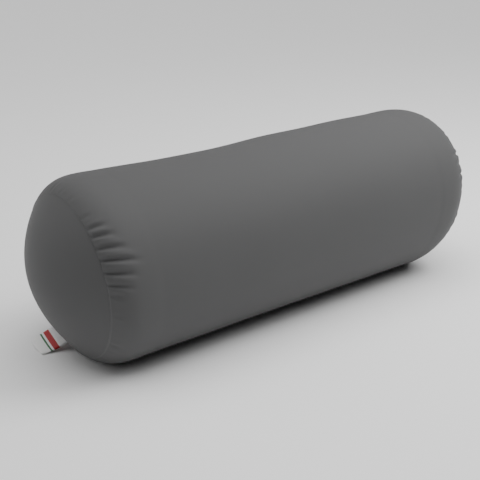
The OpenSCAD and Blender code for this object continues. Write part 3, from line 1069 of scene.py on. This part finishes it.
def labelPath():
    # the middle of the strip's thickness, as (x, distance from the roll's axis), out and back
    droop = math.radians(labelPlan["droop"])
    bend = labelPlan["bend"]
    spots, headings = [(-cover["seamX"], cover["seamRadius"] - labelPlan["inSeam"])], [math.pi / 2]
    turn = math.pi / 2 - droop
    length = labelPlan["reach"] - labelPlan["ply"] - labelPlan["gap"] / 2
    stretches = ((labelPlan["bendSteps"], turn / labelPlan["bendSteps"], bend * turn),
                 (labelPlan["flatSteps"], math.radians(-labelPlan["arch"]), length))
    for count, change, stretch in stretches:
        step = stretch / count
        for i in range(count):
            heading = headings[-1] + change
            x, r = spots[-1]
            spots.append((x + step * math.cos(heading), r + step * math.sin(heading)))
            headings.append(heading)
    spots, headings = np.array(spots), np.array(headings)
    normals = np.stack([-np.sin(headings), np.cos(headings)], -1)
    along = lengths(spots)
    half = (labelPlan["ply"] + labelPlan["gap"] * smoothStep(along / labelPlan["opens"])) / 2
    over = spots - normals * half[:, None]
    under = spots + normals * half[:, None]
    turns = np.linspace(0, np.pi, 9)[1:-1]
    end, ahead = spots[-1], np.array([math.cos(headings[-1]), math.sin(headings[-1])])
    fold = [end + half[-1] * (ahead * math.sin(t) - normals[-1] * math.cos(t)) for t in turns]
    return np.concatenate([over, fold, under[::-1]])


def labelMaterial(length):
    # white woven satin with one wide and one narrow stripe across it, and a painted shadow line along one
    # edge of the under ply
    look = {"white": (0.96, 0.96, 0.95, 1), "red": (0.5, 0.01, 0.016, 1), "green": (0.012, 0.14, 0.035, 1),
            "plyShadowColour": (0.03, 0.018, 0.018, 1), "thread": 0.32 * mm}
    s = Shade("labelWeave")
    along, across = s.cloth()
    warp = wave(across, look["thread"])
    weft = wave(along, 0.8 * look["thread"])
    wander = (warp - 0.5) * (0.18 * mm)
    reach = length / 2 - abs(along + wander - length / 2)

    def band(value, limits):
        return value.above(limits[0]) * (1.0 - value.above(limits[1]))

    colour = s.mix(band(reach, labelPlan["wide"]), look["white"], look["red"])
    colour = s.mix(band(reach, labelPlan["narrow"]), colour, look["green"])
    # painted shadow: a near-black line along one edge of the under ply, from 0.58 to 0.92 of the strip's
    # length, where the gap between the plies is in shade
    front = labelPlan["width"] - labelPlan["paintedPlyShadow"]
    paintedPlyShadow = across.above(front) * band(along, (0.58 * length, 0.92 * length))
    colour = s.mix(paintedPlyShadow, colour, look["plyShadowColour"])
    height = warp * 0.5 + weft * 0.5
    return s.finish(Base_Color=s.tint(colour, height * 0.14 + 0.9), Roughness=weft * 0.15 + 0.42,
                    Normal=s.bump(height, 0.05 * mm, 0.6), Sheen_Weight=0.15)


def makeLabel():
    path = labelPath()
    turn = math.radians(labelPlan["at"])
    down = np.array([0, math.sin(turn), -math.cos(turn)])
    sideways = np.array([0, math.cos(turn), math.sin(turn)])
    across = np.linspace(0.5, -0.5, 11) * labelPlan["width"]
    centre = path[:, :1] * [1, 0, 0] + path[:, 1:] * down
    grid = centre[:, None] + across[None, :, None] * sideways
    outward = (-path[:, 0] - cover["seamX"]) / labelPlan["reach"]
    lift = labelPlan["curl"] * np.clip(outward, 0, 1)[:, None] ** 2 * (2 * across / labelPlan["width"]) ** 2
    grid -= lift[..., None] * down
    root = np.array([-cover["seamX"], *(down * cover["seamRadius"])[1:]])
    grid[..., 0] += leanShift(root)
    low, bend = labelPlan["floorRoom"] + labelPlan["ply"], labelPlan["floorBend"]
    grid[..., 2] = bend * np.logaddexp(0, (grid[..., 2] + axisHeight - low) / bend) + low
    normals = gridNormals(grid, False)
    grid += normals * labelPlan["ply"] / 2
    length = float(lengths(path)[-1])
    parts = [shellParts(grid, labelPlan["ply"], normals=normals)]
    made = meshObject("brandLabel", parts, labelMaterial(length))
    return placed(made, "bolster", "label_weave", "brand_label"), length


label, labelLength = makeLabel()
print("label made")


# The insert: a sewn cotton case, pressed in behind the zipper, and its fibre filling.

caseCut = {
    "columns": 230,
    "closeColumns": (0, 2.6 * mm, 5.0 * mm, 5.7 * mm, 6.4 * mm, 7.1 * mm, 7.9 * mm),
    "shoulderRows": 14,
    "shoulderStep": 3 * mm,
    "fineReach": 38 * mm,
    "middleStep": 12 * mm,
    "slotEnd": 164 * mm,
    "foldRadius": 3 * mm,
}
caseRelief = {"depth": 2.0 * mm, "half": 5.3 * mm, "fade": 2.2 * mm, "end": 163 * mm, "endFade": 3 * mm}
closing = {
    "angle": 90.0,
    "length": 150 * mm,
    "turn": 25.0,  # slant of the stitches, in degrees
    "crease": 0.5 * mm,
    "creaseWidth": 1.6,  # in degrees round the roll
}


def reliefDepth(x, offset, room=0.0):
    # the channel that the chain and the slider press into the insert
    across = 1 - smoothStep((np.abs(offset) - caseRelief["half"] - room) / caseRelief["fade"])
    along = 1 - smoothStep((np.abs(x) - caseRelief["end"]) / caseRelief["endFade"])
    return caseRelief["depth"] * across * along


def caseAngles(columns):
    return roundColumns(np.array(caseCut["closeColumns"]) / case["radius"], columns)


def caseMaterial():
    look = {"colour": (0.74, 0.74, 0.71, 1), "yarn": 0.5 * mm, "depth": 0.04 * mm}
    s = Shade("caseCotton")
    along, across = s.cloth()
    warp = (across * (2 * math.pi / look["yarn"])).sin()
    weft = (along * (2 * math.pi / look["yarn"])).sin()
    height = warp * weft * 0.5 + 0.5
    cloud = s.noise(s.place(), 40.0, 3.0)
    return s.finish(Base_Color=s.tint(look["colour"], cloud * 0.08 + height * 0.06 + 0.9),
                    Roughness=cloud * 0.1 + 0.8, Sheen_Weight=0.2,
                    Normal=s.bump(height, look["depth"], 0.5))


def makeCaseTube(material):
    angles = caseAngles(caseCut["columns"])
    profile = tubeProfile(case, caseCut)
    grid = np.stack([ring(x, r, angles) for x, r in profile])
    offset = apart(angles, zipTurn) * case["radius"]
    seam = np.degrees(apart(angles, math.radians(closing["angle"])))
    sink = reliefDepth(profile[:, :1], offset[None, :]) * (profile[:, 1:] > 0.98 * case["radius"])
    crease = closing["crease"] * np.exp(-(seam / closing["creaseWidth"]) ** 2)
    sink = sink + crease[None, :] * (profile[:, 1:] > case["seamRadius"])
    grid -= gridNormals(grid, True) * sink[..., None]
    parts = [shellParts(settle(grid, caseRest), case["thickness"], True)]
    return placed(meshObject("insertTube", parts, material), "bolster", "insert_case", "insert_tube")


def makeClosingStitches():
    angle = math.radians(closing["angle"])
    rowX = np.linspace(-0.5, 0.5, 61) * closing["length"]
    out = ring(0, 1, np.full(len(rowX), angle))
    line = settle(out * (case["radius"] - 0.2 * mm) + rowX[:, None] * [1, 0, 0])
    made = stitches("insertClosingStitches", [line], [out], caseStitch, Pitch=5 * mm, Length=4 * mm,
                    Thickness=0.4 * mm, Turn=math.radians(closing["turn"]))
    return placed(made, "bolster", "insert_thread", "insert_closing_stitches")


def fillingMaterial():
    look = {"colour": (0.86, 0.86, 0.85, 1), "tuft": 90.0, "strand": 900.0, "depth": 1.5 * mm}
    s = Shade("fibreFill")
    place = s.place()
    tuft = s.noise(place, look["tuft"], 6.0, 0.7)
    strand = s.noise(place, look["strand"], 3.0, 0.6)
    return s.finish(Base_Color=s.tint(look["colour"], tuft * 0.12 + 0.92), Roughness=strand * 0.1 + 0.85,
                    Normal=s.bump(tuft * 0.7 + strand * 0.3, look["depth"], 0.6), Sheen_Weight=0.4)


def makeFilling(material):
    # the fibre takes the case's shape, with room round its turned-in seams, and is tufted
    plan = {"room": 0.4 * mm, "seamRoom": 1.0 * mm, "tuft": 1.3 * mm, "grain": 55.0,
            "columns": 180, "shoulderRows": 16, "domeRows": 24, "step": 6 * mm}
    inside = case["thickness"] + plan["room"]
    layer = dict(case, radius=case["radius"] - inside, seamX=case["seamX"] - inside - plan["seamRoom"],
                 seamRadius=case["seamRadius"] - inside)
    shoulder = shoulderProfile(layer, plan["shoulderRows"])
    straight = np.arange(0, layer["seamX"] - layer["shoulder"], plan["step"])
    rim = case["seamRadius"] - case["allowance"] - plan["seamRoom"]
    domeX = case["seamX"] + inside + plan["seamRoom"]
    domeR = case["seamRadius"] - 4 * inside
    waist = [(layer["seamX"], rim + 1 * mm), (layer["seamX"] + 1 * mm, rim),
             (domeX - 1 * mm, rim), (domeX, rim + 1 * mm)]
    k = np.linspace(1, 0, plan["domeRows"])[:-1]
    domeRise = case["seamX"] + case["domeHeight"] - 2 * inside - domeX
    dome = np.stack([domeX + domeRise * (1 - k * k), domeR * k], -1)
    tip = [(domeX + domeRise, 0.0)]
    straightRows = np.stack([straight, np.full_like(straight, layer["radius"])], -1)
    half = np.concatenate([straightRows, shoulder, waist, dome, tip])
    profile = np.concatenate([half[:0:-1] * [-1, 1], half])
    angles = caseAngles(plan["columns"])
    grid = np.stack([ring(x, r, angles) for x, r in profile])
    offset = apart(angles, zipTurn) * case["radius"]
    tufts = [noise.noise(Vector(p) * plan["grain"]) for p in grid.reshape(-1, 3)]
    tufts = np.array(tufts).reshape(grid.shape[:2])
    sink = reliefDepth(profile[:, :1], offset[None, :], 0.8 * mm)
    sink = sink * (profile[:, 1:] > 0.98 * layer["radius"])
    sink = sink + plan["tuft"] * (0.5 + 0.5 * tufts) * (profile[:, 1:] > rim + 2 * mm)
    grid = settle(grid - gridNormals(grid, True) * sink[..., None], fillRest)
    made = meshObject("fibreFilling", [(grid.reshape(-1, 3), *gridSheet(grid, True))], material, poleWeld)
    return placed(made, "bolster", "filling", "filling")


cotton = caseMaterial()
insertTube = makeCaseTube(cotton)
makeEndPanel("insertLeftEnd", case, -1, cotton, "insert_case", "insert_left_end", caseRest)
makeEndPanel("insertRightEnd", case, 1, cotton, "insert_case", "insert_right_end", caseRest)
seamStitches("insertLeftThread", case, -1, caseStitch, "insert_thread", "insert_left_thread")
seamStitches("insertRightThread", case, 1, caseStitch, "insert_thread", "insert_right_thread")
makeClosingStitches()
filling = makeFilling(fillingMaterial())
print("insert made")
# The camera, the lights and the floor.

stagePlan = {
    "azimuth": 38.6,
    "elevation": 20.9,
    "offset": (0.226, 0.189, 10.769),  # right, up and back from the roll's axis, in its radii
    "lens": 69.46,
    "sensor": 36.0,
    "floorSize": 30.0,
    "lightSpread": 60.0,
    "suns": {"overhead": ((0, 0, 1), 2.2), "highLeft": ((-0.6, 0.5, 0.5), 0.85)},
    "panels": {"rightPanel": ((0.7, -0.5, 1.0), 11.0), "backPanel": ((0.4, 0.1, 0.7), 1.1)},
    "panelSize": 0.7,
    "panelAim": (0.1, 0, 0.08),
}


def floorMaterial():
    s = Shade("paleFloor")
    cloud = s.noise(s.place(), 3.0, 2.0)
    return s.finish(Base_Color=s.tint((0.93, 0.93, 0.93, 1), cloud * 0.01 + 0.995),
                    Roughness=cloud * 0.02 + 0.9, Specular_IOR_Level=0.1)


def makeCamera():
    turn, tip = math.radians(stagePlan["azimuth"]), math.radians(stagePlan["elevation"])
    right = Vector((math.cos(turn), -math.sin(turn), 0))
    forward = Vector((math.sin(turn) * math.cos(tip), math.cos(turn) * math.cos(tip), -math.sin(tip)))
    up = right.cross(forward)
    across, rise, back = (k * cover["radius"] for k in stagePlan["offset"])
    camera = linked("camera", bpy.data.cameras.new("camera"))
    camera.location = Vector((0, 0, axisHeight)) - right * across - up * rise - forward * back
    camera.rotation_mode = "QUATERNION"
    camera.rotation_quaternion = forward.to_track_quat("-Z", "Y")
    camera.data.lens = stagePlan["lens"]
    camera.data.sensor_width = stagePlan["sensor"]
    bpy.context.scene.camera = camera


def makeLights():
    for kind, lights in (("SUN", stagePlan["suns"]), ("AREA", stagePlan["panels"])):
        for name, (place, strength) in lights.items():
            light = bpy.data.lights.new(name, kind)
            light.energy = strength
            made = linked(name, light)
            made.rotation_mode = "QUATERNION"
            aim = -Vector(place)
            if kind == "SUN":
                light.angle = math.radians(stagePlan["lightSpread"])
            else:
                light.size = stagePlan["panelSize"]
                made.location = place
                aim += Vector(stagePlan["panelAim"])
            made.rotation_quaternion = aim.to_track_quat("-Z", "Y")


def makeStage():
    bpy.ops.mesh.primitive_plane_add(size=stagePlan["floorSize"], location=(0, 0, -0.2 * mm))
    floor = bpy.context.object
    floor.name = "floor"
    floor.data.materials.append(floorMaterial())
    world = bpy.data.worlds.new("studio")
    bpy.context.scene.world = world
    world.use_nodes = True
    world.node_tree.nodes["Background"].inputs["Color"].default_value = (1, 1, 1, 1)
    world.node_tree.nodes["Background"].inputs["Strength"].default_value = 0.05


makeCamera()
makeLights()
makeStage()
